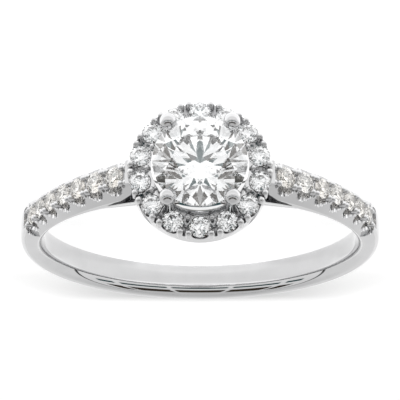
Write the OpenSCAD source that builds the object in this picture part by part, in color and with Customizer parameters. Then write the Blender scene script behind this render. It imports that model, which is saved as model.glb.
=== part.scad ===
// Halo ring: a round brilliant in four claws, a round halo of small stones, and a stone-set
// shoulder on each side of a plain polished band. It lies on its side, as it rests by itself.
// All sizes are millimetres. The ring is drawn with its finger hole along Y and its head
// towards +Z, and on_its_side() then lays it down.

/* [Band] */
// Diameter of the finger hole
finger_d = 17.3; // [15:0.1:21]
// Wall thickness of the plain band
band_t = 1.27; // [1.2:0.01:1.8]
// Width of the band along the finger
band_w = 2.06; // [1.9:0.01:3]
// Depth of the comfort rounding of the band's inner edges
comfort_r = 0.5; // [0.3:0.01:0.55]
// How far that rounding reaches along the finger
comfort_w = 0.75; // [0.5:0.01:0.8]
// Rounding of the band's outer edges
dome_r = 0.63; // [0.3:0.01:0.65]
// Thickness of the rail that carries the band on under the head
rail_t = 0.6; // [0.5:0.01:0.8]

/* [Shoulders] */
// Stones in each shoulder
shoulder_count = 7; // [3:1:8]
// Diameter of a shoulder stone
shoulder_stone_d = 1.1; // [0.9:0.01:1.2]
// Space between neighbouring shoulder stones
shoulder_stone_gap = 0.13; // [0.1:0.01:0.3]
// Width of a shoulder across its stones
shoulder_top_w = 1.2; // [1.1:0.01:1.4]
// Height of the shoulder's slanted sides
shoulder_side_h = 0.62; // [0.5:0.01:0.7]
// How far the shoulder's arc is centred beyond the middle of the finger hole, sideways
shoulder_back = 2.54; // [2.2:0.01:2.8]
// How far the shoulder's arc is centred below the middle of the finger hole
shoulder_drop = 1.03; // [0.8:0.01:1.2]
// Angle above the finger hole's middle at which the shoulder rises out of the band
shoulder_level_deg = 48.5; // [46:0.1:51]
// Depth of the scoops that open the shoulder's sides under its stones
shoulder_scoop_h = 0.4; // [0.3:0.01:0.45]
// Width of such a scoop
shoulder_scoop_w = 1; // [0.85:0.01:1.05]
// Radius of a bead that holds a shoulder stone
bead_r = 0.16; // [0.13:0.01:0.18]
// Height of the middle of such a bead over the shoulder
bead_h = 0.04; // [0:0.01:0.1]

/* [Openings under the shoulders] */
// Length of the opening between shoulder and rail, from the halo's rim
opening_l = 1.15; // [0.6:0.01:1.4]
// Thickness of the shoulder over the opening, beside the halo
strip_t = 0.5; // [0.4:0.01:0.6]

/* [Centre stone] */
// Diameter of the centre stone
centre_d = 4.6; // [4:0.05:6]
// Height of the centre stone's girdle over the top of the halo
centre_lift = 1.1; // [0.9:0.01:1.5]
// Radius of a claw's rounded tip
claw_tip_r = 0.41; // [0.35:0.01:0.5]
// Radius of a claw's foot
claw_foot_r = 0.27; // [0.2:0.01:0.3]
// Radius of the wire ring under the centre stone
gallery_wire_r = 0.18; // [0.12:0.01:0.2]

/* [Halo] */
// Stones in the halo
halo_count = 14; // [12:1:15]
// Diameter of a halo stone
halo_stone_d = 1.05; // [0.9:0.01:1.15]
// Space from the centre stone's edge to the halo stones, seen from above
halo_gap = 0.175; // [0.15:0.005:0.4]
// How far the halo stones reach past the halo's rim
halo_overhang = 0.025; // [0:0.005:0.05]
// Height of the halo's rim
halo_h = 1.0; // [0.9:0.01:1.4]
// Height of the halo's underside over the finger hole
halo_lift = 0.95; // [0.8:0.01:1.2]
// Depth of the scoops that open the rim under the stones
halo_scoop_h = 0.35; // [0.2:0.01:0.45]
// Width of such a scoop
halo_scoop_w = 0.8; // [0.6:0.01:0.9]
// Radius of an outer claw of the halo
halo_claw_r = 0.18; // [0.12:0.01:0.2]
// Height of the halo's claws over its top
halo_claw_h = 0.14; // [0.1:0.01:0.25]
// Thickness of the plate between halo and shoulder
collar_t = 0.18; // [0.12:0.01:0.3]
// Length of that plate along the finger
collar_w = 1.2; // [1:0.01:1.4]

/* [Cut of the stones] */
// Width of the table, as a share of the stone's diameter
table_share = 0.56; // [0.5:0.01:0.64]
// Angle of the crown
crown_deg = 34.5; // [30:0.5:38]
// Angle of the pavilion
pavilion_deg = 40.8; // [39:0.1:43]
// Thickness of the girdle, as a share of the stone's diameter
girdle_share = 0.03; // [0.02:0.005:0.05]
// Clearance between a stone and its seat
seat_clear = 0.03; // [0.02:0.005:0.05]

/* [Hidden] */
$fn = 48;

// Angle between two of a stone's eight main facets, and half of it
main_deg = 45;
half_deg = main_deg / 2;
// Where the star facets and the lower halves end, as shares of the stone's radius
star_share = 0.79;
lower_share = 0.22;
// Turn of each small stone from the one before, as a setter drops them in
stone_turn = 17;

// Band
finger_r = finger_d / 2;
band_r = finger_r + band_t;
rail_r = finger_r + rail_t;
half_w = band_w / 2;
arc_steps = 6;

// Halo, from the centre stone outwards
centre_r = centre_d / 2;
halo_pitch = 360 / halo_count;
halo_ring_r = centre_r + halo_gap + halo_stone_d / 2;
halo_r = halo_ring_r + halo_stone_d / 2 - halo_overhang;
halo_z = finger_r + halo_lift;
halo_top_z = halo_z + halo_h;
halo_girdle_z = halo_top_z + girdle_share * halo_stone_d / 2;
halo_edge_r = 0.12;
halo_hole_r = centre_r - 0.25;
base_r = 1.2;
base_wall = 0.4;
base_sink = 0.15;
base_step = 0.35;
groove_w = 0.26;
groove_l = 0.9;
halo_claw_ring_r = halo_r - halo_claw_r + 0.05;
halo_claw_split = 0.21;
inner_bead_r = 0.15;
inner_bead_ring_r = halo_ring_r - halo_stone_d / 2 + 0.12;

// Centre stone and its claws, which stand between two halo stones
centre_z = halo_top_z + centre_lift;
claw_deg = 90 - (round(main_deg / halo_pitch - 0.5) + 0.5) * halo_pitch;
claw_ring_r = centre_r + 0.12;
claw_tip_ring_r = centre_r + 0.17;
claw_tip_z = centre_z + 0.3;
claw_foot_z = halo_z + 0.2;
gallery_r = centre_r - 0.1;
gallery_z = centre_z - 0.6;

// Shoulder arc. It is flatter than the band: its outer end is cut down into the band's
// outside, and from shoulder_level_deg on it stands proud of the band.
shoulder_r = norm([
    band_r * cos(shoulder_level_deg) + shoulder_back,
    band_r * sin(shoulder_level_deg) + shoulder_drop
]);
shoulder_foot_r = shoulder_r - shoulder_side_h;
shoulder_lap = 0.08;
shoulder_half_w = shoulder_top_w / 2;
shoulder_stone_r = shoulder_stone_d / 2;
shoulder_girdle_r = shoulder_r + girdle_share * shoulder_stone_r - 0.03;
head_margin = 0.05;
head_stone_x = halo_r + collar_t + head_margin + shoulder_stone_r;
head_stone_deg = acos((head_stone_x + shoulder_back) / shoulder_girdle_r);
shoulder_pitch = 2 * asin((shoulder_stone_d + shoulder_stone_gap) / 2 / shoulder_girdle_r);
last_stone_deg = head_stone_deg - (shoulder_count - 1) * shoulder_pitch;
shoulder_end_deg = last_stone_deg - shoulder_pitch * 0.44;
channel_end_deg = last_stone_deg - shoulder_pitch * 0.8;
channel_half_w = shoulder_half_w - 0.05;
channel_r = shoulder_r + 0.02;
shoulder_bar_deg = (head_stone_deg + last_stone_deg) / 2;
shoulder_head_deg = acos((halo_r - 0.25 + shoulder_back) / shoulder_r);
shoulder_spare = 0.3;
shoulder_spare_r = shoulder_foot_r - shoulder_spare * shoulder_side_h / (half_w - shoulder_half_w);
bead_split = 0.145;
bead_y = shoulder_half_w - 0.2;
bead_foot = 0.15;
split_w = 0.15;

// Openings under the shoulders, cut along the finger
strip_x = halo_r - 0.1;
strip_z = sqrt(shoulder_r ^ 2 - (strip_x + shoulder_back) ^ 2) - shoulder_drop - strip_t;
opening_x = halo_r + opening_l;
opening_z = sqrt((rail_r + 0.05) ^ 2 - opening_x ^ 2);

// Under the head the inner edges are left fuller than the comfort rounding, down to a slanted line
edge_inset = 0.02;
edge_head_x = strip_x - 0.1;
edge_head_z = sqrt((finger_r + 0.05) ^ 2 - edge_head_x ^ 2);
edge_end_x = opening_x + 0.65;
edge_end_z = sqrt((finger_r + comfort_r) ^ 2 - edge_end_x ^ 2);
collar_z = halo_z - 0.2;
collar_top_z = halo_top_z - 0.38;

// The ring leans on its halo's rim and on the back of its band. The tilt comes from the line
// that touches the two rounded edges from below.
lean_y = (halo_r - halo_edge_r) - (half_w - dome_r);
lean_z = (halo_z + halo_edge_r) + (band_r - dome_r);
lie_tilt = atan2(lean_y, lean_z) + asin((halo_edge_r - dome_r) / norm([lean_y, lean_z]));
floor_drop = (half_w - dome_r) * cos(lie_tilt) + (band_r - dome_r) * sin(lie_tilt) + dome_r;
claw_tip_y = claw_tip_ring_r * sin(claw_deg);
front_reach = claw_tip_z * cos(lie_tilt) + claw_tip_y * sin(lie_tilt) + claw_tip_r;
back_reach = (half_w - dome_r) * sin(lie_tilt) + (band_r - dome_r) * cos(lie_tilt) + dome_r;

// Points of an arc round (cx, cy)
function arc(cx, cy, r, from, to) = [
    for (i = [0:arc_steps])
        let (a = from + (to - from) * i / arc_steps) [cx + r * cos(a), cy + r * sin(a)]
];

// The same for an oval with half axes rx and ry
function oval(cx, cy, rx, ry, from, to) = [
    for (i = [0:arc_steps])
        let (a = from + (to - from) * i / arc_steps) [cx + rx * cos(a), cy + ry * sin(a)]
];

// Points of one ring of a stone's corners
function corners(count, r, z, from) = [
    for (k = [0:count - 1])
        let (a = from + 360 / count * k) [r * cos(a), r * sin(a), z]
];

// Lays the ring on its side, with the middle of its footprint at the origin
module on_its_side() {
    translate([0, (front_reach - back_reach) / 2, floor_drop])
        rotate([90 - lie_tilt, 0, 0])
            children();
}

// Turns a shape about the finger hole's axis, from +X towards +Z
module about_bore() {
    rotate([90, 0, 0]) children();
}

// Places a child on the shoulder arc at an angle, its own Z pointing away from the finger
module on_shoulder(deg, r) {
    translate([-shoulder_back, 0, -shoulder_drop])
        rotate([0, 90 - deg, 0])
            translate([0, 0, r])
                children();
}

module at_shoulder_stone(i) {
    on_shoulder(head_stone_deg - (i - 1) * shoulder_pitch, shoulder_girdle_r) children();
}

module at_shoulder_gaps() {
    for (i = [0:shoulder_count])
        on_shoulder(head_stone_deg - (i - 0.5) * shoulder_pitch, shoulder_r) children();
}

// Places a child on the halo at an angle from +X, at a distance from its axis
module on_halo(deg, r, z) {
    rotate([0, 0, deg]) translate([r, 0, z]) children();
}

module at_halo_stone(i) {
    on_halo(90 + (i - 1) * halo_pitch, halo_ring_r, halo_girdle_z) children();
}

module at_halo_gaps(r, z) {
    for (i = [1:halo_count])
        on_halo(90 + (i - 0.5) * halo_pitch, r, z) children();
}

module both_sides() {
    children();
    mirror([1, 0, 0]) children();
}

// Small claw with a rounded top, from a foot below the metal's surface
module small_claw(r, foot, h) {
    translate([0, 0, -foot]) cylinder(r = r, h = foot + h);
    translate([0, 0, h]) sphere(r = r);
}

// Stones

// Round brilliant with its table up: table, 8 stars, 8 kites, 16 upper halves,
// girdle, 16 lower halves and 8 pavilion mains
module brilliant(d) {
    r = d / 2;
    half_girdle = girdle_share * r;
    table_r = table_share * r;
    star_r = star_share * r;
    lower_r = lower_share * r;
    table_z = half_girdle + (r - table_r) * tan(crown_deg);
    star_z = half_girdle + (r - star_r * cos(half_deg)) * tan(crown_deg);
    lower_z = -half_girdle - (r - lower_r * cos(half_deg)) * tan(pavilion_deg);
    culet_z = -half_girdle - r * tan(pavilion_deg);
    table = 0;
    star = 8;
    top = 16;
    bottom = 32;
    lower = 48;
    culet = 56;
    polyhedron(
        points = concat(
            corners(8, table_r, table_z, 0),
            corners(8, star_r, star_z, half_deg),
            corners(16, r, half_girdle, 0),
            corners(16, r, -half_girdle, 0),
            corners(8, lower_r, lower_z, half_deg),
            [[0, 0, culet_z]]
        ),
        faces = concat(
            [[for (k = [7:-1:0]) table + k]],
            [for (k = [0:7]) [table + k, table + (k + 1) % 8, star + k]],
            [for (k = [0:7]) [table + k, star + k, top + 2 * k, star + (k + 7) % 8]],
            [for (k = [0:7]) [star + k, top + 2 * k + 1, top + 2 * k]],
            [for (k = [0:7]) [star + k, top + (2 * k + 2) % 16, top + 2 * k + 1]],
            [for (j = [0:15]) [top + j, top + (j + 1) % 16, bottom + (j + 1) % 16, bottom + j]],
            [for (k = [0:7]) [lower + k, bottom + 2 * k, bottom + 2 * k + 1]],
            [for (k = [0:7]) [lower + k, bottom + 2 * k + 1, bottom + (2 * k + 2) % 16]],
            [for (k = [0:7]) [culet, lower + (k + 7) % 8, bottom + 2 * k, lower + k]]
        )
    );
}

// Room for a stone: its round outline with the seat's clearance, open to the height given
module seat(d, open_h) {
    r = d / 2 + seat_clear;
    rim = girdle_share * d / 2 + seat_clear;
    rotate_extrude()
        polygon([
            [0, -rim - r * tan(pavilion_deg)],
            [r, -rim],
            [r, open_h],
            [0, open_h]
        ]);
}

// Room for a stone under a claw that reaches over its edge
module crown_room(d) {
    r = d / 2 + seat_clear;
    rim = girdle_share * d / 2 + seat_clear;
    table_r = table_share * d / 2;
    rotate_extrude()
        polygon([
            [0, -rim - r * tan(pavilion_deg)],
            [r, -rim],
            [r, rim],
            [table_r, rim + (r - table_r) * tan(crown_deg)],
            [0, rim + (r - table_r) * tan(crown_deg)]
        ]);
}

module centre_stone() {
    color("aliceblue")
        on_its_side()
            translate([0, 0, centre_z])
                brilliant(centre_d);
}

module halo_stone(i) {
    color("azure")
        on_its_side()
            at_halo_stone(i)
                rotate([0, 0, i * stone_turn])
                    brilliant(halo_stone_d);
}

module shoulder_stone(i, side) {
    color("ghostwhite")
        on_its_side()
            mirror([side, 0, 0])
                at_shoulder_stone(i)
                    rotate([0, 0, i * stone_turn])
                        brilliant(shoulder_stone_d);
}

// Metal

// Comfort-fit band: rounded inside and outside, with a straight cylinder in the finger hole
module hoop() {
    about_bore()
        rotate_extrude()
            polygon(concat(
                oval(finger_r + comfort_r, comfort_w - half_w, comfort_r, comfort_w, 180, 270),
                arc(band_r - dome_r, dome_r - half_w, dome_r, 270, 360),
                arc(band_r - dome_r, half_w - dome_r, dome_r, 0, 90),
                oval(finger_r + comfort_r, half_w - comfort_w, comfort_r, comfort_w, 90, 180)
            ));
}

// Fuller inner edges of the rail under the head
module rail_edges() {
    reach = half_w - edge_inset;
    intersection() {
        about_bore()
            rotate_extrude(start = 50, angle = 80)
                polygon([
                    [finger_r + 0.03, -reach],
                    [rail_r - 0.05, -reach],
                    [rail_r - 0.05, reach],
                    [finger_r + 0.03, reach]
                ]);
        rotate([90, 0, 0])
            linear_extrude(height = 2 * band_w, center = true)
                polygon([
                    [-edge_end_x, edge_end_z],
                    [-edge_head_x, edge_head_z],
                    [edge_head_x, edge_head_z],
                    [edge_end_x, edge_end_z],
                    [edge_end_x, rail_r],
                    [-edge_end_x, rail_r]
                ]);
    }
}

// Turns a profile about the shoulder arc's middle, from one angle to another
module about_shoulder(from, to) {
    translate([-shoulder_back, 0, -shoulder_drop])
        about_bore()
            rotate_extrude(start = from, angle = to - from)
                children();
}

// Bar that carries the upper stones from the band to the head
module shoulder_bar() {
    about_shoulder(shoulder_bar_deg, shoulder_head_deg)
        polygon([
            [shoulder_foot_r - shoulder_lap, -half_w],
            [shoulder_r + 0.2, -half_w],
            [shoulder_r + 0.2, half_w],
            [shoulder_foot_r - shoulder_lap, half_w]
        ]);
}

// What is cut away over the shoulder: its flat top, and a slanted face along each edge
module shoulder_relief() {
    about_shoulder(shoulder_end_deg, shoulder_head_deg + 2)
        polygon([
            [shoulder_spare_r, -half_w - shoulder_spare],
            [shoulder_r, -shoulder_half_w],
            [shoulder_r, shoulder_half_w],
            [shoulder_spare_r, half_w + shoulder_spare],
            [shoulder_r + 2, half_w + shoulder_spare],
            [shoulder_r + 2, -half_w - shoulder_spare]
        ]);
}

// Space over the rail: between the shoulders, and the slim openings under them
module head_space() {
    above = halo_top_z + 1;
    below = rail_r - 2;
    rotate([90, 0, 0])
        linear_extrude(height = 2 * band_w, center = true)
            difference() {
                polygon([
                    [-strip_x, above],
                    [strip_x, above],
                    [strip_x, strip_z],
                    [opening_x, opening_z],
                    [opening_x - 1, below],
                    [1 - opening_x, below],
                    [-opening_x, opening_z],
                    [-strip_x, strip_z]
                ]);
                circle(r = rail_r);
            }
}

// Shallow channel in which the last stone lies, with an upright wall across its end
module shoulder_channel() {
    about_shoulder(channel_end_deg, shoulder_bar_deg)
        polygon([
            [channel_r, -channel_half_w],
            [channel_r + 1, -channel_half_w],
            [channel_r + 1, channel_half_w],
            [channel_r, channel_half_w]
        ]);
}

// Scoop across the shoulder under one stone, open on both sides
module shoulder_scoop() {
    half = shoulder_scoop_w / 2;
    rise = shoulder_r - shoulder_girdle_r;
    translate([0, 0, rise + half - shoulder_scoop_h])
        rotate([90, 0, 0])
            cylinder(r = half, h = 2 * band_w, center = true);
}

// Groove that splits the beads between two stones
module bead_groove() {
    rotate([0, 45, 0])
        cube([split_w, 2 * band_w, split_w], center = true);
}

// Four beads between two stones, a pair on each edge of the shoulder
module edge_beads() {
    for (x = [-bead_split, bead_split], y = [-bead_y, bead_y])
        translate([x, y, 0]) small_claw(bead_r, bead_foot, bead_h);
}

module shoulder_cuts() {
    for (i = [1:shoulder_count])
        at_shoulder_stone(i) {
            shoulder_scoop();
            seat(shoulder_stone_d, halo_h);
        }
    at_shoulder_gaps() bead_groove();
}

module shoulder_beads() {
    difference() {
        at_shoulder_gaps() edge_beads();
        for (i = [1:shoulder_count])
            at_shoulder_stone(i) crown_room(shoulder_stone_d);
    }
}

module shank() {
    difference() {
        union() {
            hoop();
            rail_edges();
            both_sides() shoulder_bar();
        }
        both_sides() {
            shoulder_relief();
            shoulder_channel();
        }
        head_space();
        both_sides() shoulder_cuts();
    }
    both_sides() shoulder_beads();
}

// Halo's rim, with a funnel below it that stands on the rail
module halo_rim() {
    base_z = rail_r - base_sink;
    rotate_extrude()
        polygon(concat(
            [
                [halo_hole_r, halo_top_z],
                [halo_hole_r, halo_z + base_step],
                [base_r, base_z],
                [base_r + base_wall, base_z],
                [halo_hole_r + base_wall, halo_z]
            ],
            arc(halo_r - halo_edge_r, halo_z + halo_edge_r, halo_edge_r, 270, 360),
            [[halo_r, halo_top_z]]
        ));
}

// Scoop through the halo's rim under one stone, outwards from the stone's middle
module halo_scoop() {
    half = halo_scoop_w / 2;
    translate([0, 0, half - halo_scoop_h])
        rotate([0, 90, 0])
            cylinder(r = half, h = halo_stone_d);
}

module halo_groove() {
    rotate([45, 0, 0])
        cube([groove_l, groove_w, groove_w], center = true);
}

module halo_cuts() {
    for (i = [1:halo_count])
        at_halo_stone(i) {
            halo_scoop();
            seat(halo_stone_d, halo_h);
        }
    at_halo_gaps(halo_r, halo_top_z) halo_groove();
}

module halo_claws() {
    difference() {
        union() {
            at_halo_gaps(halo_claw_ring_r, halo_top_z)
                for (y = [-halo_claw_split, halo_claw_split])
                    translate([0, y, 0]) small_claw(halo_claw_r, halo_scoop_h, halo_claw_h);
            at_halo_gaps(inner_bead_ring_r, halo_top_z) small_claw(inner_bead_r, halo_scoop_h, halo_claw_h);
        }
        for (i = [1:halo_count])
            at_halo_stone(i) crown_room(halo_stone_d);
    }
}

// Claw of the centre stone: a wire that widens upwards and closes over the stone's edge
module main_claw() {
    translate([claw_ring_r, 0, claw_foot_z])
        cylinder(r1 = claw_foot_r, r2 = claw_tip_r - 0.02, h = claw_tip_z - claw_foot_z);
    translate([claw_tip_ring_r, 0, claw_tip_z])
        sphere(r = claw_tip_r);
}

module gallery_wire() {
    translate([0, 0, gallery_z])
        rotate_extrude()
            translate([gallery_r, 0])
                circle(r = gallery_wire_r);
}

module main_claws() {
    difference() {
        union() {
            for (side = [0, 180], lean = [-claw_deg, claw_deg])
                rotate([0, 0, side + lean]) main_claw();
            gallery_wire();
        }
        translate([0, 0, centre_z]) crown_room(centre_d);
    }
}

// Thin upright plate where a shoulder meets the halo
module collar() {
    translate([halo_r - collar_t, -collar_w / 2, collar_z])
        cube([2 * collar_t, collar_w, collar_top_z - collar_z]);
}

module head() {
    difference() {
        union() {
            halo_rim();
            both_sides() collar();
        }
        halo_cuts();
    }
    halo_claws();
    main_claws();
}

module ring_mount() {
    color("silver")
        on_its_side() {
            shank();
            head();
        }
}

ring_mount();
centre_stone();
for (i = [1:halo_count])
    halo_stone(i);
for (i = [1:shoulder_count]) {
    shoulder_stone(i, 0);
    shoulder_stone(i, 1);
}
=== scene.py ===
"""Halo ring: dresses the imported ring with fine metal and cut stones."""
import math
import random

import bmesh
import bpy
from mathutils import Matrix, Vector


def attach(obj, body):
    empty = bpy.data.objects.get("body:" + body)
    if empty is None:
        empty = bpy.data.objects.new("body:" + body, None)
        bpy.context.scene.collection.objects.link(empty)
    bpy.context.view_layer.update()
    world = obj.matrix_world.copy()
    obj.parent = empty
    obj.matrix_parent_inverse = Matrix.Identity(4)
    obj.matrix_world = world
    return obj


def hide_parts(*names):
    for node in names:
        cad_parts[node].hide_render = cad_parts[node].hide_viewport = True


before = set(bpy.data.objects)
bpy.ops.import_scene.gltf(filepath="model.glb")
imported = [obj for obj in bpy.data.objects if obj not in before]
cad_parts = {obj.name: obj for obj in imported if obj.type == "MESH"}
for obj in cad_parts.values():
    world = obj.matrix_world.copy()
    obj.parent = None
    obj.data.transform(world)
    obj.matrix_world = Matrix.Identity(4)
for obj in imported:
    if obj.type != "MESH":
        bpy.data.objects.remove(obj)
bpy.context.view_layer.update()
scene = bpy.context.scene
rng = random.Random(7)

# Sizes in millimetres, as in the part's source. Z points out of the head, Y along the finger.
MM = 0.001
FINGER_R = 8.65
BAND_R = 9.92
RAIL_R = 9.25
HALF_W = 1.03
COMFORT_R = 0.5
COMFORT_W = 0.75
DOME_R = 0.63

SHOULDER_COUNT = 7
SHOULDER_STONE_D = 1.1
SHOULDER_BACK = 2.54
SHOULDER_DROP = 1.03
SHOULDER_LEVEL_DEG = 48.5
SHOULDER_SIDE_H = 0.62
SHOULDER_LAP = 0.08
SHOULDER_HALF_W = 0.6
SHOULDER_SPARE = 0.3
SHOULDER_SCOOP_H = 0.4
SHOULDER_SCOOP_W = 1.0
BEAD_R = 0.16
BEAD_H = 0.04
BEAD_SPLIT = 0.145
BEAD_Y = 0.4
BEAD_FOOT = 0.15
SPLIT_W = 0.15
SHOULDER_STONE_SINK = 0.03
SHOULDER_STONE_GAP = 0.13
HEAD_STONE_GAP = 0.05
SHOULDER_END_SHARE = 0.44  # past the last stone, as a share of the pitch
CHANNEL_END_SHARE = 0.8
SHOULDER_INTO_HALO = 0.25
BAR_SPARE = 0.2
CHANNEL_LIP = 0.05
CHANNEL_LIFT = 0.02
CHANNEL_H = 1
RELIEF_H = 2
PAST_HEAD_DEG = 2
FLUTE_W = 0.085
FLUTE_DEGS = (-152, -128, -104, -76, -52, -28)
ACROSS_BAND = 4.2  # longer than the band is wide, so that a cut goes right through it
CUTTER_W = 5

CENTRE_D = 4.6
CENTRE_Z = 11.7
HALO_COUNT = 14
HALO_STONE_D = 1.05
HALO_RING_R = 3.0
HALO_R = 3.5
HALO_Z = 9.6
HALO_TOP_Z = 10.6
HALO_EDGE_R = 0.12
HALO_HOLE_R = 2.05
BASE_R = 1.2
BASE_WALL = 0.4
BASE_SINK = 0.15
BASE_STEP = 0.35
GROOVE_W = 0.26
GROOVE_L = 0.9
FINE_CUT_W = 0.13
FINE_CUT_L = 1.5
CROSS_CUT_L = 0.6
CROSS_CUT_IN = 0.03
HALO_SCOOP_H = 0.35
HALO_SCOOP_W = 0.8
HALO_CLAW_R = 0.18
HALO_CLAW_H = 0.14
HALO_CLAW_SPLIT = 0.21
HALO_CLAW_OUT = 0.05
INNER_BEAD_R = 0.15
INNER_BEAD_OUT = 0.12
CLAW_TIP_R = 0.41
CLAW_FOOT_R = 0.27
CLAW_NECK = 0.02
CLAW_OUT = 0.12
CLAW_TIP_OUT = 0.17
CLAW_TIP_UP = 0.3
CLAW_FOOT_UP = 0.2
GALLERY_WIRE_R = 0.18
GALLERY_IN = 0.1
GALLERY_DOWN = 0.6
GALLERY_SLANT = [(0, -0.09), (-0.03, -0.07)]  # outer corners of its front face
COLLAR_T = 0.18
COLLAR_W = 1.2
COLLAR_H = 0.82
COLLAR_DOWN = 0.2
OPENING_X = 4.65
STRIP_X = 3.4
STRIP_T = 0.5
OPENING_Z = 8.054

FILL_END_X = 5.3
FILL_END_Z = 7.459
FILL_HEAD_X = 3.3
FILL_HEAD_Z = 8.05
FILL_INNER_SPARE = 0.03
FILL_OUTER_SPARE = 0.05
FILL_SIDE_SPARE = 0.02
FILL_START_DEG = 50
FILL_SPAN_DEG = 80
FILL_CUT_X = 6.5
FILL_CUT_Z = 6.0

TABLE_SHARE = 0.56
CROWN = math.radians(34.5)
PAVILION = math.radians(40.8)
SMALL_PAVILION = math.radians(39.2)
GIRDLE_SHARE = 0.03
STAR_SHARE = 0.79
LOWER_SHARE = 0.22
SEAT_CLEAR = 0.03
SEAT_OPEN_H = 1.0
STONE_TURN = 17  # degrees that each small stone is turned past the one before
STONE_LEAN = 1.2  # degrees, at most

HALO_PITCH = 360 / HALO_COUNT
CLAW_DEG = 90 - 1.5 * HALO_PITCH
HALO_GIRDLE_Z = HALO_TOP_Z + GIRDLE_SHARE * HALO_STONE_D / 2
HALO_CLAW_RING_R = HALO_R - HALO_CLAW_R + HALO_CLAW_OUT
INNER_BEAD_RING_R = HALO_RING_R - HALO_STONE_D / 2 + INNER_BEAD_OUT
CLAW_RING_R = CENTRE_D / 2 + CLAW_OUT
CLAW_TIP_RING_R = CENTRE_D / 2 + CLAW_TIP_OUT
CLAW_TIP_Z = CENTRE_Z + CLAW_TIP_UP
CLAW_FOOT_Z = HALO_Z + CLAW_FOOT_UP
GALLERY_R = CENTRE_D / 2 - GALLERY_IN
GALLERY_Z = CENTRE_Z - GALLERY_DOWN
SHOULDER_LEVEL = math.radians(SHOULDER_LEVEL_DEG)
SHOULDER_R = math.hypot(BAND_R * math.cos(SHOULDER_LEVEL) + SHOULDER_BACK,
                        BAND_R * math.sin(SHOULDER_LEVEL) + SHOULDER_DROP)
SHOULDER_FOOT_R = SHOULDER_R - SHOULDER_SIDE_H
SHOULDER_GIRDLE_R = SHOULDER_R + GIRDLE_SHARE * SHOULDER_STONE_D / 2 - SHOULDER_STONE_SINK
HEAD_STONE_X = HALO_R + COLLAR_T + HEAD_STONE_GAP + SHOULDER_STONE_D / 2
HEAD_STONE_DEG = math.degrees(math.acos((HEAD_STONE_X + SHOULDER_BACK) / SHOULDER_GIRDLE_R))
STONE_REACH = (SHOULDER_STONE_D + SHOULDER_STONE_GAP) / 2
SHOULDER_PITCH = math.degrees(2 * math.asin(STONE_REACH / SHOULDER_GIRDLE_R))
SHOULDER_END_DEG = HEAD_STONE_DEG - (SHOULDER_COUNT - 1 + SHOULDER_END_SHARE) * SHOULDER_PITCH
CHANNEL_END_DEG = HEAD_STONE_DEG - (SHOULDER_COUNT - 1 + CHANNEL_END_SHARE) * SHOULDER_PITCH
SHOULDER_BAR_DEG = HEAD_STONE_DEG - (SHOULDER_COUNT - 1) / 2 * SHOULDER_PITCH
BAR_HEAD_X = HALO_R - SHOULDER_INTO_HALO
SHOULDER_HEAD_DEG = math.degrees(math.acos((BAR_HEAD_X + SHOULDER_BACK) / SHOULDER_R))
SPARE_DROP = SHOULDER_SPARE * SHOULDER_SIDE_H / (HALF_W - SHOULDER_HALF_W)
SHOULDER_SPARE_R = SHOULDER_FOOT_R - SPARE_DROP
STRIP_TOP_Z = math.sqrt(SHOULDER_R ** 2 - (STRIP_X + SHOULDER_BACK) ** 2) - SHOULDER_DROP
STRIP_Z = STRIP_TOP_Z - STRIP_T

# Where the ring lies in the frame: how far its bore leans, and the centre of its finger hole.
LIE_TILT = 7.3904
FLOOR_DROP = 2.22164
LIE_Y = 1.33222


def turn(deg, axis):
    return Matrix.Rotation(math.radians(deg), 4, axis)


def move(x, y, z):
    return Matrix.Translation((x, y, z))


MIRROR_X = Matrix.Diagonal((-1, 1, 1, 1))
LIE = Matrix.Diagonal((MM, MM, MM, 1)) @ move(0, LIE_Y, FLOOR_DROP) @ turn(90 - LIE_TILT, "X")


def on_shoulder(deg, r):
    return move(-SHOULDER_BACK, 0, -SHOULDER_DROP) @ turn(90 - deg, "Y") @ move(0, 0, r)


def at_shoulder_stone(i):
    return on_shoulder(HEAD_STONE_DEG - (i - 1) * SHOULDER_PITCH, SHOULDER_GIRDLE_R)


def at_shoulder_gap(i):
    return on_shoulder(HEAD_STONE_DEG - (i - 0.5) * SHOULDER_PITCH, SHOULDER_R)


def on_halo(deg, r, z):
    return turn(deg, "Z") @ move(r, 0, z)


def at_halo_stone(i):
    return on_halo(90 + (i - 1) * HALO_PITCH, HALO_RING_R, HALO_GIRDLE_Z)


def at_halo_gap(i, r, z):
    return on_halo(90 + (i - 0.5) * HALO_PITCH, r, z)


# Mesh tools


def new_object(name, data):
    obj = bpy.data.objects.new(name, data)
    scene.collection.objects.link(obj)
    return obj


def from_lists(name, verts, faces):
    mesh = bpy.data.meshes.new(name)
    mesh.from_pydata(verts, [], faces)
    bm = bmesh.new()
    bm.from_mesh(mesh)
    bmesh.ops.remove_doubles(bm, verts=bm.verts, dist=1e-5)
    bmesh.ops.dissolve_degenerate(bm, dist=1e-6, edges=bm.edges)
    bmesh.ops.recalc_face_normals(bm, faces=bm.faces)
    bm.to_mesh(mesh)
    bm.free()
    return mesh


def revolve(profile, steps, about="Z", start=0.0, angle=360.0):
    """A closed profile of (radius, height) points turned about an axis."""
    full = angle == 360.0
    rows = steps if full else steps + 1
    count = len(profile)
    verts = []
    for i in range(rows):
        a = math.radians(start + angle * i / steps)
        for r, h in profile:
            if about == "Z":
                verts.append((r * math.cos(a), r * math.sin(a), h))
            else:
                verts.append((r * math.cos(a), h, r * math.sin(a)))
    faces = []
    for i in range(steps):
        here = i * count
        there = (i + 1) % rows * count
        for k in range(count):
            n = (k + 1) % count
            faces.append((here + k, here + n, there + n, there + k))
    if not full:
        faces.append(tuple(range(count)))
        faces.append(tuple(range((rows - 1) * count, rows * count)))
    return from_lists("revolved", verts, faces)


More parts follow.
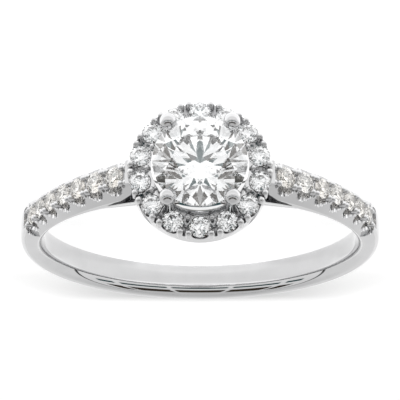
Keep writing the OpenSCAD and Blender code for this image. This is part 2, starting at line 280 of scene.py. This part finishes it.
def extrude_y(points, width):
    """A polygon of (x, z) points made solid along Y."""
    count = len(points)
    verts = [(x, -width / 2, z) for x, z in points] + [(x, width / 2, z) for x, z in points]
    faces = [tuple(range(count)), tuple(range(count, 2 * count))]
    for k in range(count):
        n = (k + 1) % count
        faces.append((k, n, count + n, count + k))
    return from_lists("extruded", verts, faces)


def block(sx, sy, sz):
    x, z = sx / 2, sz / 2
    return extrude_y([(-x, -z), (x, -z), (x, z), (-x, z)], sy)


def oval(cx, cy, rx, ry, start, end, steps):
    out = []
    for i in range(steps + 1):
        a = math.radians(start + (end - start) * i / steps)
        out.append((cx + rx * math.cos(a), cy + ry * math.sin(a)))
    return out


def arc(cx, cy, r, start, end, steps):
    return oval(cx, cy, r, r, start, end, steps)


def moved(mesh, matrix):
    """A copy of a mesh at a place, with its faces turned out again after a mirror."""
    out = mesh.copy()
    out.transform(matrix)
    if matrix.determinant() < 0:
        out.flip_normals()
    return out


def joined(meshes):
    bm = bmesh.new()
    for mesh in meshes:
        bm.from_mesh(mesh)
    out = bpy.data.meshes.new("joined")
    bm.to_mesh(out)
    bm.free()
    return out


def combine(mesh, other, operation):
    """Boolean of two closed meshes."""
    a = new_object("work_a", mesh)
    b = new_object("work_b", other)
    mod = a.modifiers.new("work", "BOOLEAN")
    mod.operation = operation
    mod.solver = "MANIFOLD"
    mod.object = b
    graph = bpy.context.evaluated_depsgraph_get()
    out = bpy.data.meshes.new_from_object(a.evaluated_get(graph))
    bpy.data.objects.remove(a)
    bpy.data.objects.remove(b)
    if not out.polygons:
        raise RuntimeError("a boolean came out empty")
    return out


def cut(mesh, *others):
    for other in others:
        mesh = combine(mesh, other, "DIFFERENCE")
    return mesh


def union(mesh, *others):
    for other in others:
        mesh = combine(mesh, other, "UNION")
    return mesh


def both_sides(mesh):
    return [mesh, moved(mesh, MIRROR_X)]


def finish_piece(name, mesh, material, smooth=None):
    """Lays a mesh in the row's frame and makes it a piece that rides on the body."""
    mesh.transform(LIE)
    mesh.name = name
    if smooth is None:
        mesh.polygons.foreach_set("use_smooth", [False] * len(mesh.polygons))
    else:
        mesh.polygons.foreach_set("use_smooth", [True] * len(mesh.polygons))
        mesh.set_sharp_from_angle(angle=math.radians(smooth))
    mesh.materials.clear()
    mesh.materials.append(material)
    mesh.update()
    obj = new_object(name, mesh)
    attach(obj, "root")
    return obj


# Materials


def node_material(name):
    mat = bpy.data.materials.new(name)
    mat.use_nodes = True
    tree = mat.node_tree
    bsdf = tree.nodes["Principled BSDF"]
    return mat, tree, bsdf


def ramp(tree, value, stops, full):
    """Brightness along a value, from (position, brightness) stops, as a share of full."""
    node = tree.nodes.new("ShaderNodeValToRGB")
    points = node.color_ramp.elements
    while len(points) < len(stops):
        points.new(0.5)
    for point, (position, level) in zip(points, stops):
        point.position = position
        if isinstance(level, (int, float)):
            level = (level, level, level)
        point.color = tuple(c / full for c in level) + (1,)
    tree.links.new(value, node.inputs["Fac"])
    return node.outputs["Color"]


def blend(tree, factor, first, second, kind="MIX"):
    mix = tree.nodes.new("ShaderNodeMix")
    mix.data_type = "RGBA"
    mix.blend_type = kind
    for slot, value in (("Factor", factor), ("A", first), ("B", second)):
        if isinstance(value, (float, tuple)):
            mix.inputs[slot].default_value = value
        else:
            tree.links.new(value, mix.inputs[slot])
    return mix.outputs["Result"]


def math_node(tree, operation, *values):
    node = tree.nodes.new("ShaderNodeMath")
    node.operation = operation
    for slot, value in zip(node.inputs, values):
        if isinstance(value, (int, float)):
            slot.default_value = value
        else:
            tree.links.new(value, slot)
    return node.outputs[0]


def spread(tree, value, low, high, start=0.0, end=1.0, soft=False):
    """The value between low and high, spread from start to end."""
    node = tree.nodes.new("ShaderNodeMapRange")
    if soft:
        node.interpolation_type = "SMOOTHSTEP"
    node.inputs["From Min"].default_value = low
    node.inputs["From Max"].default_value = high
    node.inputs["To Min"].default_value = start
    node.inputs["To Max"].default_value = end
    tree.links.new(value, node.inputs["Value"])
    return node.outputs["Result"]


def noise(tree, place, scale, detail):
    node = tree.nodes.new("ShaderNodeTexNoise")
    node.inputs["Scale"].default_value = scale
    node.inputs["Detail"].default_value = detail
    tree.links.new(place, node.inputs["Vector"])
    return node.outputs["Fac"]


def polished_metal(name, dark_low, dark_high, matt, reach, colour=(0.62, 0.62, 0.625)):
    """Polished white gold: faint wheel marks, micro waves, soft edges, and crevices with painted
    shade in their colour and a polish that can stop short of them.

    dark_low and dark_high scale a crevice's colour near the floor and high above it, as painted
    shade below 1 and as painted light above 1;
    matt says how far the polish stops short of it, and reach how wide a gap still counts as one.
    """
    mat, tree, bsdf = node_material(name)
    nodes, links = tree.nodes, tree.links
    place = nodes.new("ShaderNodeTexCoord").outputs["Object"]
    body = ramp(tree, noise(tree, place, 900.0, 3.0),
                [(0.3, tuple(c * 0.975 for c in colour)), (0.7, tuple(c * 1.02 for c in colour))],
                1.0)
    # Painted shade: closed-in spots get their base colour scaled by a factor that changes with
    # height above the floor; a factor above 1 paints light there instead.
    crevice = nodes.new("ShaderNodeAmbientOcclusion")
    crevice.samples = 8
    crevice.inputs["Distance"].default_value = reach
    openness = ramp(tree, crevice.outputs["AO"], [(0.12, 0.0), (0.62, 1.0)], 1.0)
    axes = nodes.new("ShaderNodeSeparateXYZ")
    links.new(place, axes.inputs[0])
    dark = spread(tree, axes.outputs["Z"], 0.0015, 0.0045, dark_low, dark_high)
    kept = blend(tree, openness, dark, (1.0, 1.0, 1.0, 1.0))
    links.new(blend(tree, 1.0, body, kept, "MULTIPLY"), bsdf.inputs["Base Color"])
    polish = spread(tree, noise(tree, place, 420.0, 4.0), 0.35, 0.7, 0.03, 0.08)
    if matt:
        polish = math_node(tree, "ADD", polish, spread(tree, openness, 0.0, 1.0, 0.15 * matt, 0.0))
        links.new(spread(tree, openness, 0.0, 1.0, 1.0 - matt, 1.0), bsdf.inputs["Metallic"])
    else:
        bsdf.inputs["Metallic"].default_value = 1.0
    links.new(polish, bsdf.inputs["Roughness"])
    stretch = nodes.new("ShaderNodeMapping")
    stretch.inputs["Scale"].default_value = (6000.0, 900.0, 900.0)
    links.new(place, stretch.inputs["Vector"])
    marks = noise(tree, stretch.outputs["Vector"], 1.0, 2.0)
    bump = nodes.new("ShaderNodeBump")
    bump.inputs["Strength"].default_value = 0.5
    bump.inputs["Distance"].default_value = 0.0000015
    links.new(marks, bump.inputs["Height"])
    soft_edge = nodes.new("ShaderNodeBevel")
    soft_edge.samples = 6
    soft_edge.inputs["Radius"].default_value = 0.00002
    links.new(soft_edge.outputs["Normal"], bump.inputs["Normal"])
    links.new(bump.outputs["Normal"], bsdf.inputs["Normal"])
    return mat


def cut_stone(name, colour=(1.0, 1.0, 1.0), cool=(0.97, 0.985, 1.0)):
    """Cut stone: clear body, bright polish, faint growth tint inside."""
    mat, tree, bsdf = node_material(name)
    bsdf.inputs["Transmission Weight"].default_value = 1.0
    bsdf.inputs["IOR"].default_value = 2.42
    place = tree.nodes.new("ShaderNodeTexCoord").outputs["Object"]
    growth = noise(tree, place, 1500.0, 2.0)
    tree.links.new(ramp(tree, growth, [(0.35, colour), (0.65, cool)], 1.0),
                   bsdf.inputs["Base Color"])
    tree.links.new(spread(tree, growth, 0.0, 1.0, 0.0, 0.004), bsdf.inputs["Roughness"])
    return mat


# Crevice factors: the halo's crevices get painted shade, nearly black high above the floor; the
# band's crevices get painted light; beads and gallery ring get faint painted shade.
METAL = polished_metal("halo_white_gold", 0.9, 0.06, 0.0, 0.00022)
BAND_METAL = polished_metal("band_white_gold", 1.2, 1.2, 0.5, 0.0005)
BEAD_METAL = polished_metal("bead_white_gold", 0.95, 0.95, 0.0, 0.00022)
# Painted highlight: the gallery ring's base colour is set far brighter than the rest of the metal.
BRIGHTENED_GALLERY_METAL = polished_metal("gallery_white_gold", 0.95, 0.95, 0.0, 0.0001, (0.92, 0.92, 0.92))
CENTRE = cut_stone("centre_brilliant")
MELEE = cut_stone("halo_brilliants")
WARM = cut_stone("shoulder_brilliants", (0.96, 0.91, 0.84), (1.0, 0.995, 0.98))


# Stones


def stone_mesh(sides, pavilion):
    """Round brilliant of radius 1 with a scalloped girdle, cut plane by plane."""
    half_girdle = GIRDLE_SHARE
    tan_c, tan_p = math.tan(CROWN), math.tan(pavilion)
    half = math.cos(math.radians(22.5))
    table_z = half_girdle + (1 - TABLE_SHARE) * tan_c
    star_z = half_girdle + (1 - STAR_SHARE * half) * tan_c
    lower_z = -half_girdle - (1 - LOWER_SHARE * half) * tan_p
    bm = bmesh.new()
    bmesh.ops.create_cone(bm, cap_ends=True, segments=sides, radius1=1, radius2=1, depth=3)
    bmesh.ops.rotate(bm, verts=bm.verts, matrix=turn(360 / sides / 2, "Z").to_3x3())
    first = min(bm.verts, key=lambda v: abs(math.atan2(v.co.y, v.co.x)))
    lead = math.degrees(math.atan2(first.co.y, first.co.x))
    bmesh.ops.rotate(bm, verts=bm.verts, matrix=turn(-lead, "Z").to_3x3())

    def point(deg, r, z):
        a = math.radians(deg)
        return Vector((r * math.cos(a), r * math.sin(a), z))

    def shave(p, q, s):
        normal = (q - p).cross(s - p).normalized()
        if normal.dot(-p) > 0:
            normal.negate()
        if normal.dot(p) < 0:
            normal.negate()
        whole = bm.verts[:] + bm.edges[:] + bm.faces[:]
        found = bmesh.ops.bisect_plane(bm, geom=whole, plane_co=p, plane_no=normal,
                                       clear_outer=True, dist=1e-6)
        rim = [e for e in found["geom_cut"] if isinstance(e, bmesh.types.BMEdge)]
        if rim:
            bmesh.ops.edgeloop_fill(bm, edges=rim)

    shave(point(0, 1, table_z), point(120, 1, table_z), point(240, 1, table_z))
    for k in range(8):
        a = 45 * k
        corner = point(a, TABLE_SHARE, table_z)
        corner_b = point(a + 45, TABLE_SHARE, table_z)
        star = point(a + 22.5, STAR_SHARE, star_z)
        star_b = point(a - 22.5, STAR_SHARE, star_z)
        rim, mid, rim_b = (point(a + t, 1, half_girdle) for t in (0, 22.5, 45))
        shave(corner, corner_b, star)
        shave(corner, star, star_b)
        shave(star, rim, mid)
        shave(star, mid, rim_b)
        low = point(a + 22.5, LOWER_SHARE, lower_z)
        low_b = point(a - 22.5, LOWER_SHARE, lower_z)
        rim, mid, rim_b = (point(a + t, 1, -half_girdle) for t in (0, 22.5, 45))
        shave(low, low_b, rim)
        shave(low, rim, mid)
        shave(low, mid, rim_b)
    bmesh.ops.remove_doubles(bm, verts=bm.verts, dist=1e-5)
    bmesh.ops.recalc_face_normals(bm, faces=bm.faces)
    mesh = bpy.data.meshes.new("stone")
    bm.to_mesh(mesh)
    bm.free()
    return mesh


FINE_STONE = stone_mesh(96, PAVILION)
SMALL_STONE = stone_mesh(48, SMALL_PAVILION)


def set_stone(name, unit, d, place, material, node):
    lean = (turn(rng.uniform(-STONE_LEAN, STONE_LEAN), "X")
            @ turn(rng.uniform(-STONE_LEAN, STONE_LEAN), "Y"))
    if node == "centre_stone":
        lean = Matrix.Identity(4)
    mesh = moved(unit, place @ lean @ Matrix.Diagonal((d / 2, d / 2, d / 2, 1)))
    obj = finish_piece(name, mesh, material)
    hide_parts(node)


set_stone("centre_brilliant", FINE_STONE, CENTRE_D, move(0, 0, CENTRE_Z), CENTRE,
          "centre_stone")
for i in range(1, HALO_COUNT + 1):
    set_stone(f"halo_brilliant_{i}", SMALL_STONE, HALO_STONE_D,
              at_halo_stone(i) @ turn(i * STONE_TURN, "Z"), MELEE, f"halo_stone_{i}")
for i in range(1, SHOULDER_COUNT + 1):
    for side, flip in (("left", Matrix.Identity(4)), ("right", MIRROR_X)):
        set_stone(f"{side}_brilliant_{i}", SMALL_STONE, SHOULDER_STONE_D,
                  flip @ at_shoulder_stone(i) @ turn(i * STONE_TURN, "Z"), WARM,
                  f"{side}_shoulder_stone_{i}")


# Metal


def seat(d, open_h, steps=40):
    r = d / 2 + SEAT_CLEAR
    rim = GIRDLE_SHARE * d / 2 + SEAT_CLEAR
    return revolve([(0, -rim - r * math.tan(PAVILION)), (r, -rim), (r, open_h), (0, open_h)], steps)


def crown_room(d, steps=64):
    r = d / 2 + SEAT_CLEAR
    rim = GIRDLE_SHARE * d / 2 + SEAT_CLEAR
    table_r = TABLE_SHARE * d / 2
    top = rim + (r - table_r) * math.tan(CROWN)
    return revolve([(0, -rim - r * math.tan(PAVILION)), (r, -rim), (r, rim), (table_r, top),
                    (0, top)], steps)


def rod(r, low, high, steps=32):
    return revolve([(0, low), (r, low), (r, high), (0, high)], steps)


def small_claw(r, foot, h, steps=24):
    """Wire with a rounded tip, turned in one piece."""
    return revolve([(0, -foot), (r, -foot)] + arc(0, h, r, 0, 90, 8), steps)


def on_y(mesh):
    """Turns an upright shape to lie along Y."""
    return moved(mesh, turn(90, "X"))


# Band, rail and shoulders
hoop = revolve(
    oval(FINGER_R + COMFORT_R, COMFORT_W - HALF_W, COMFORT_R, COMFORT_W, 180, 270, 16)
    + arc(BAND_R - DOME_R, DOME_R - HALF_W, DOME_R, 270, 360, 14)
    + arc(BAND_R - DOME_R, HALF_W - DOME_R, DOME_R, 0, 90, 14)
    + oval(FINGER_R + COMFORT_R, HALF_W - COMFORT_W, COMFORT_R, COMFORT_W, 90, 180, 16),
    360, "Y")
bar = revolve(
    [(SHOULDER_FOOT_R - SHOULDER_LAP, -HALF_W), (SHOULDER_R + BAR_SPARE, -HALF_W),
     (SHOULDER_R + BAR_SPARE, HALF_W), (SHOULDER_FOOT_R - SHOULDER_LAP, HALF_W)],
    72, "Y", SHOULDER_BAR_DEG, SHOULDER_HEAD_DEG - SHOULDER_BAR_DEG)
bar = moved(bar, move(-SHOULDER_BACK, 0, -SHOULDER_DROP))
relief = revolve(
    [(SHOULDER_SPARE_R, -HALF_W - SHOULDER_SPARE), (SHOULDER_R, -SHOULDER_HALF_W),
     (SHOULDER_R, SHOULDER_HALF_W), (SHOULDER_SPARE_R, HALF_W + SHOULDER_SPARE),
     (SHOULDER_R + RELIEF_H, HALF_W + SHOULDER_SPARE),
     (SHOULDER_R + RELIEF_H, -HALF_W - SHOULDER_SPARE)],
    120, "Y", SHOULDER_END_DEG, SHOULDER_HEAD_DEG + PAST_HEAD_DEG - SHOULDER_END_DEG)
channel_w = SHOULDER_HALF_W - CHANNEL_LIP
channel = revolve(
    [(SHOULDER_R + CHANNEL_LIFT, -channel_w), (SHOULDER_R + CHANNEL_LIFT, channel_w),
     (SHOULDER_R + CHANNEL_H, channel_w), (SHOULDER_R + CHANNEL_H, -channel_w)],
    24, "Y", CHANNEL_END_DEG, SHOULDER_BAR_DEG - CHANNEL_END_DEG)
relief = union(relief, channel)
relief = moved(relief, move(-SHOULDER_BACK, 0, -SHOULDER_DROP))

above = HALO_TOP_Z + 1
below = RAIL_R - 2
space = extrude_y([(-STRIP_X, above), (STRIP_X, above), (STRIP_X, STRIP_Z), (OPENING_X, OPENING_Z),
                   (OPENING_X - 1, below), (1 - OPENING_X, below), (-OPENING_X, OPENING_Z),
                   (-STRIP_X, STRIP_Z)], CUTTER_W)
space = cut(space, on_y(rod(RAIL_R, -4, 4, 360)))

scoop_r = SHOULDER_SCOOP_W / 2
scoop_place = move(0, 0, SHOULDER_R - SHOULDER_GIRDLE_R + scoop_r - SHOULDER_SCOOP_H)
scoop = moved(on_y(rod(scoop_r, -ACROSS_BAND / 2, ACROSS_BAND / 2, 48)), scoop_place)
flute = moved(block(FLUTE_W, ACROSS_BAND, FLUTE_W), turn(45, "Y"))
flutes = []
for deg in FLUTE_DEGS:
    a = math.radians(deg)
    on_wall = move(scoop_r * math.cos(a), 0, scoop_r * math.sin(a))
    flutes.append(moved(flute, on_wall @ scoop_place))
scoop = union(scoop, *flutes)
stone_seat = seat(SHOULDER_STONE_D, SEAT_OPEN_H)
split = moved(block(SPLIT_W, ACROSS_BAND, SPLIT_W), turn(45, "Y"))
scoops = joined([moved(scoop, at_shoulder_stone(i)) for i in range(1, SHOULDER_COUNT + 1)])
seats = joined([moved(stone_seat, at_shoulder_stone(i)) for i in range(1, SHOULDER_COUNT + 1)])
splits = joined([moved(split, at_shoulder_gap(i)) for i in range(SHOULDER_COUNT + 1)])

fill_low = FINGER_R + FILL_INNER_SPARE
fill_high = RAIL_R - FILL_OUTER_SPARE
fill_y = HALF_W - FILL_SIDE_SPARE
fill = revolve([(fill_low, -fill_y), (fill_high, -fill_y), (fill_high, fill_y), (fill_low, fill_y)],
               96, "Y", FILL_START_DEG, FILL_SPAN_DEG)
under_fill = extrude_y([(-FILL_CUT_X, FILL_CUT_Z), (FILL_CUT_X, FILL_CUT_Z),
                        (FILL_CUT_X, FILL_END_Z), (FILL_END_X, FILL_END_Z),
                        (FILL_HEAD_X, FILL_HEAD_Z), (0, FILL_HEAD_Z), (-FILL_HEAD_X, FILL_HEAD_Z),
                        (-FILL_END_X, FILL_END_Z), (-FILL_CUT_X, FILL_END_Z)], CUTTER_W)
fill = cut(fill, under_fill)

shank = union(hoop, *both_sides(bar), fill)
shank = cut(shank, *both_sides(relief), space)
for part in (scoops, seats, splits):
    shank = cut(shank, *both_sides(part))
band = finish_piece("band_and_shoulders", shank, BAND_METAL, 28)
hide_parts("ring_mount")

# Beads along both edges of the shoulders, cut clear of the stones
bead = small_claw(BEAD_R, BEAD_FOOT, BEAD_H)
rooms = joined([moved(crown_room(SHOULDER_STONE_D, 32), at_shoulder_stone(i))
                for i in range(1, SHOULDER_COUNT + 1)])
beads = []
for i in range(SHOULDER_COUNT + 1):
    for x in (-BEAD_SPLIT, BEAD_SPLIT):
        for y in (-BEAD_Y, BEAD_Y):
            beads.append(moved(bead, at_shoulder_gap(i) @ move(x, y, 0)))
row_a = cut(joined(beads[0::2]), rooms)
row_b = cut(joined(beads[1::2]), rooms.copy())
beads = joined(both_sides(row_a) + both_sides(row_b))
finish_piece("shoulder_beads", beads, BEAD_METAL, 35)

# Halo
base_z = RAIL_R - BASE_SINK
rim = revolve(
    [(HALO_HOLE_R, HALO_TOP_Z), (HALO_HOLE_R, HALO_Z + BASE_STEP), (BASE_R, base_z),
     (BASE_R + BASE_WALL, base_z), (HALO_HOLE_R + BASE_WALL, HALO_Z)]
    + arc(HALO_R - HALO_EDGE_R, HALO_Z + HALO_EDGE_R, HALO_EDGE_R, 270, 360, 6)
    + [(HALO_R, HALO_TOP_Z)], 256)
plate = moved(block(2 * COLLAR_T, COLLAR_W, COLLAR_H),
              move(HALO_R, 0, HALO_Z - COLLAR_DOWN + COLLAR_H / 2))
scoop_r = HALO_SCOOP_W / 2
scoop = moved(rod(scoop_r, 0, HALO_STONE_D, 40),
              move(0, 0, scoop_r - HALO_SCOOP_H) @ turn(90, "Y"))
groove = moved(block(GROOVE_L, GROOVE_W, GROOVE_W), turn(45, "X"))
stones = range(1, HALO_COUNT + 1)
fine_cut = moved(block(FINE_CUT_L, FINE_CUT_W, FINE_CUT_W), turn(45, "X"))
cross_cut = moved(block(FINE_CUT_W, CROSS_CUT_L, FINE_CUT_W), turn(45, "Y"))
rim = union(rim, *both_sides(plate))
rim = cut(rim,
          joined([moved(scoop, at_halo_stone(i)) for i in stones]),
          joined([moved(seat(HALO_STONE_D, SEAT_OPEN_H), at_halo_stone(i)) for i in stones]),
          joined([moved(groove, at_halo_gap(i, HALO_R, HALO_TOP_Z)) for i in stones]))
for tool, r in ((fine_cut, HALO_RING_R), (cross_cut, HALO_RING_R - CROSS_CUT_IN)):
    rim = cut(rim, joined([moved(tool, at_halo_gap(i, r, HALO_TOP_Z)) for i in stones]))
finish_piece("halo_rim", rim, METAL, 28)

outer = small_claw(HALO_CLAW_R, HALO_SCOOP_H, HALO_CLAW_H)
inner = small_claw(INNER_BEAD_R, HALO_SCOOP_H, HALO_CLAW_H)
halo_rooms = joined([moved(crown_room(HALO_STONE_D, 32), at_halo_stone(i)) for i in stones])
rows = []
for y in (-HALO_CLAW_SPLIT, HALO_CLAW_SPLIT):
    rows.append(joined([moved(outer, at_halo_gap(i, HALO_CLAW_RING_R, HALO_TOP_Z) @ move(0, y, 0))
                        for i in stones]))
rows.append(joined([moved(inner, at_halo_gap(i, INNER_BEAD_RING_R, HALO_TOP_Z)) for i in stones]))
rows = [cut(row, halo_rooms.copy()) for row in rows]
finish_piece("halo_claws", joined(rows), METAL, 35)

# Claws and gallery ring under the centre stone
claw = revolve([(0, CLAW_FOOT_Z), (CLAW_FOOT_R, CLAW_FOOT_Z), (CLAW_TIP_R - CLAW_NECK, CLAW_TIP_Z),
                (0, CLAW_TIP_Z)], 48)
claw = moved(claw, move(CLAW_RING_R, 0, 0))
tip = moved(revolve(arc(0, 0, CLAW_TIP_R, -90, 90, 32), 48), move(CLAW_TIP_RING_R, 0, CLAW_TIP_Z))
claw = union(claw, tip)
claws = joined([moved(claw, turn(side + away, "Z"))
                for side in (0, 180) for away in (-CLAW_DEG, CLAW_DEG)])
room = moved(crown_room(CENTRE_D, 128), move(0, 0, CENTRE_Z))
claws = cut(claws, room)
finish_piece("main_claws", claws, METAL, 35)
wire_top = GALLERY_Z + GALLERY_WIRE_R
wire = revolve(
    [(GALLERY_R - GALLERY_WIRE_R, wire_top), (GALLERY_R - GALLERY_WIRE_R, GALLERY_Z)]
    + arc(GALLERY_R, GALLERY_Z, GALLERY_WIRE_R, 180, 360, 14)
    + [(GALLERY_R + GALLERY_WIRE_R + x, wire_top + z) for x, z in GALLERY_SLANT], 128)
wire = cut(wire, room.copy())
finish_piece("gallery_ring", wire, BRIGHTENED_GALLERY_METAL, 35)

# Floor. It glows unevenly, its brighter and dimmer zones being painted light and shade for the
# metal to reflect, and a painted soft shadow darkens its glow behind the ring; both are given as
# stops along Y, in millimetres.
STRETCH = 30
GLOW = 1.5
# Painted light and shade: the glow stops make the floor brighter in some bands and dimmer in
# others, such as 1 to 4.5 mm, for the metal to reflect.
FRONT_GLOW = [(-30, 0.78), (-16.5, 0.68), (-14, 0.7), (-12.5, 1.15), (-7, 1.15), (1, 0.6),
              (4.5, 0.6)]
MIDDLE_GLOW = FRONT_GLOW + [(7.5, 0.72), (8.5, 0.85), (10.5, 0.85), (12, 0.57)]
SIDE_GLOW = FRONT_GLOW + [(5.5, 0.66), (10, 0.66), (12, 0.57)]
SHADE = [(9.5, 0.0), (12.5, 0.35), (14.9, 1.0), (15.3, 1.0), (16.2, 0.0)]
BLACK = (0.0, 0.0, 0.0, 1.0)

floor_mesh = bpy.data.meshes.new("floor")
floor_mesh.from_pydata([(-3, -3, 0), (3, -3, 0), (3, 3, 0), (-3, 3, 0)], [], [(0, 1, 2, 3)])
floor = new_object("floor", floor_mesh)
floor_mat, floor_tree, floor_bsdf = node_material("pale_floor")
floor_bsdf.inputs["Base Color"].default_value = (0.7, 0.7, 0.7, 1)
floor_bsdf.inputs["Roughness"].default_value = 0.7
floor_bsdf.inputs["Specular IOR Level"].default_value = 0.1
floor_bsdf.inputs["Emission Strength"].default_value = GLOW
floor_place = floor_tree.nodes.new("ShaderNodeTexCoord").outputs["Object"]
floor_axes = floor_tree.nodes.new("ShaderNodeSeparateXYZ")
floor_tree.links.new(floor_place, floor_axes.inputs[0])
floor_along = spread(floor_tree, floor_axes.outputs["Y"], -STRETCH * MM, STRETCH * MM)
floor_aside = math_node(floor_tree, "ABSOLUTE", floor_axes.outputs["X"])
floor_away = floor_tree.nodes.new("ShaderNodeVectorMath")
floor_away.operation = "DISTANCE"
floor_away.inputs[1].default_value = (0.0, LIE_Y * MM, 0.0)
floor_tree.links.new(floor_place, floor_away.inputs[0])


def along_floor(stops, full):
    return ramp(floor_tree, floor_along,
                [((y + STRETCH) / (2 * STRETCH), level) for y, level in stops], full)


glow = blend(floor_tree, spread(floor_tree, floor_aside, 0.0032, 0.0046, soft=True),
             along_floor(MIDDLE_GLOW, GLOW), along_floor(SIDE_GLOW, GLOW))
# Painted shadow: the glow is blacked out behind the ring, most at 15 mm along Y and within 13.5 mm
# of the finger hole's middle, fading out by 17 mm.
near_ring = spread(floor_tree, floor_away.outputs["Value"], 0.0135, 0.017, 0.15, 1.0)
shade = blend(floor_tree, near_ring, along_floor(SHADE, 1.0), BLACK)
floor_tree.links.new(blend(floor_tree, shade, glow, BLACK), floor_bsdf.inputs["Emission Color"])
floor_mesh.materials.append(floor_mat)

# Studio light: a bright sky with thin dark bars, brightest near the horizon.
SKY_SCALE = 4.0
TEAL = (0.03, 0.07, 0.075)
UMBER = (0.05, 0.04, 0.03)
world = bpy.data.worlds.new("studio")
scene.world = world
world.use_nodes = True
sky = world.node_tree
sky_dir = sky.nodes.new("ShaderNodeSeparateXYZ")
sky.links.new(sky.nodes.new("ShaderNodeTexCoord").outputs["Generated"], sky_dir.inputs[0])
dir_x, dir_y, dir_z = sky_dir.outputs
side_angle = math_node(sky, "ARCTAN2", dir_x, math_node(sky, "MULTIPLY", dir_y, -1.0))
side_angle = math_node(sky, "MULTIPLY", math_node(sky, "ABSOLUTE", side_angle), 1 / math.pi)


def az(deg):
    """Angle from the front, to either side, as a share of half a turn."""
    return deg / 180


def el(deg):
    """Height above the floor as the direction's Z."""
    return math.sin(math.radians(deg))


def by_height(stops):
    return ramp(sky, dir_z, stops, SKY_SCALE)


open_sky = by_height([(0.0, 1.05), (el(40), 0.95), (el(62), 0.8), (1.0, 0.7)])
barred_sky = by_height([(0.0, 0.02), (el(1.5), 0.02), (el(2.5), 1.1), (el(16), 0.9),
                        (el(17.2), TEAL), (el(24.2), TEAL), (el(25.4), 1.05), (el(35), 0.85),
                        (el(37), UMBER), (el(54), UMBER), (el(56), 0.7), (1.0, 0.7)])
back_sky = by_height([(0.0, 0.94), (el(25), 0.94), (el(45), 0.8), (1.0, 0.7)])
bars = ramp(sky, side_angle, [(0.0, 1.0), (az(22), 1.0), (az(23), 0.0), (az(26), 0.0),
                              (az(27), 1.0), (az(66), 1.0), (az(67), 0.0), (az(72), 0.0),
                              (az(73), 1.0), (az(88), 1.0), (az(90), 0.0)], 1.0)
edge = ramp(sky, side_angle, [(0.0, 1.0), (az(104), 1.0), (az(105), 0.05), (az(107.5), 0.05),
                              (az(108.5), 1.0)], 1.0)
light = blend(sky, bars, open_sky, barred_sky)
light = blend(sky, spread(sky, side_angle, az(106), az(108), soft=True), light, back_sky)
light = blend(sky, 1.0, light, edge, "MULTIPLY")
background = sky.nodes["Background"]
sky.links.new(light, background.inputs["Color"])
background.inputs["Strength"].default_value = SKY_SCALE

# Camera: above the head-on view of the ring and rolled by half a turn, so that the ring, which
# lies on its side here, is seen as in the photo. The picture's middle is AIM_PX above the centre
# of the finger hole.
VIEW = math.radians(18)
AWAY = 0.080
SENSOR = 36
PHOTO_PX = 400
FOCAL_PX = 1435
AIM_PX = 36
beta = math.radians(LIE_TILT)
ring_y = Vector((0, math.sin(beta), math.cos(beta)))
ring_z = Vector((0, -math.cos(beta), math.sin(beta)))
centre = Vector((0, LIE_Y, FLOOR_DROP)) * MM
back_dir = math.sin(VIEW) * ring_y + math.cos(VIEW) * ring_z
up_dir = -math.cos(VIEW) * ring_y + math.sin(VIEW) * ring_z
aim_up = math.atan(AIM_PX / FOCAL_PX)
cam_x = Vector((-1, 0, 0))
cam_y = math.cos(aim_up) * up_dir + math.sin(aim_up) * back_dir
cam_z = math.cos(aim_up) * back_dir - math.sin(aim_up) * up_dir
camera_data = bpy.data.cameras.new("camera")
camera_data.sensor_width = SENSOR
camera_data.lens = FOCAL_PX / PHOTO_PX * SENSOR
camera_data.clip_start = 0.001
camera = new_object("camera", camera_data)
camera.matrix_world = (Matrix.Translation(centre + back_dir * AWAY)
                       @ Matrix((cam_x, cam_y, cam_z)).transposed().to_4x4())
scene.camera = camera

scene.view_settings.view_transform = "Standard"
scene.cycles.max_bounces = 24
scene.cycles.transmission_bounces = 20
scene.cycles.glossy_bounces = 10
scene.cycles.caustics_reflective = True
scene.cycles.caustics_refractive = True
